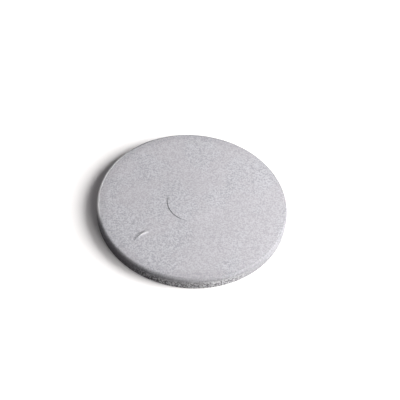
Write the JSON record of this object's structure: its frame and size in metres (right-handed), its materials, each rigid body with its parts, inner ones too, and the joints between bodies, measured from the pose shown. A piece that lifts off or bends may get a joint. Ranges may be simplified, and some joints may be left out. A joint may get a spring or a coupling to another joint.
{
  "type": "vibration coin motor",
  "caption": "Flat coin-shaped vibration motor: a sealed drawn-steel case with a low central boss, a half-moon eccentric rotor inside, and adhesive and contact pads underneath.",
  "frame": {"origin": "centre of the mounting adhesive's underside, on the motor's axis", "axes": "+Z along the motor's axis, out of the cover's face; +Y through the middle of the counterweight at rest; -X towards the circuit's folded tail and its contact pads"},
  "size_m": [0.02, 0.02, 0.0015],
  "materials": {
    "cover_steel": "pale grey matt nickel over deep-drawn steel, fine even grain",
    "plate_steel": "nickel-plated steel sheet",
    "shaft_steel": "ground and polished steel",
    "washer_film": "thin slippery polyester film",
    "magnet_nickel": "nickel-plated neodymium magnet",
    "epoxy": "cured amber epoxy",
    "polyimide": "amber polyimide film",
    "contact_gold": "hard gold plate on copper",
    "brush_copper": "bare beryllium-copper spring strip",
    "solder": "satin lead-free solder",
    "adhesive_film": "double-sided adhesive film",
    "sintered_bronze": "oiled sintered bronze, finely porous",
    "board_laminate": "green glass-epoxy laminate",
    "coil_wire": "enamelled copper wire, wound side by side",
    "tungsten": "sintered tungsten alloy, matt grey",
    "moulding_resin": "black moulding resin"
  },
  "bodies": {
    "housing": {"top_cover": "cover_steel", "base_plate": "plate_steel", "weld_spot_1": "plate_steel", "weld_spot_2": "plate_steel", "weld_spot_3": "plate_steel", "weld_spot_4": "plate_steel", "shaft": "shaft_steel", "lower_washer": "washer_film", "upper_washer": "washer_film", "ring_magnet": "magnet_nickel", "magnet_adhesive": "epoxy", "flex_circuit": "polyimide", "contact_pad_positive": "contact_gold", "contact_pad_negative": "contact_gold", "brush_positive": "brush_copper", "brush_negative": "brush_copper", "brush_solder_positive": "solder", "brush_solder_negative": "solder", "mounting_adhesive": "adhesive_film"},
    "rotor": {"bearing": "sintered_bronze", "rotor_board": "board_laminate", "commutator_segment_1": "contact_gold", "commutator_segment_2": "contact_gold", "commutator_segment_3": "contact_gold", "commutator_segment_4": "contact_gold", "commutator_segment_5": "contact_gold", "commutator_segment_6": "contact_gold", "coil_left": "coil_wire", "coil_right": "coil_wire", "coil_solder_1": "solder", "coil_solder_2": "solder", "coil_solder_3": "solder", "coil_solder_4": "solder", "counterweight": "tungsten", "rotor_moulding": "moulding_resin"}
  },
  "joints": [
    {"name": "rotor_spin", "type": "hinge", "parent": "housing", "child": "rotor", "pos_m": [0, 0, 0], "axis": [0, 0, 1], "continuous": true}
  ]
}
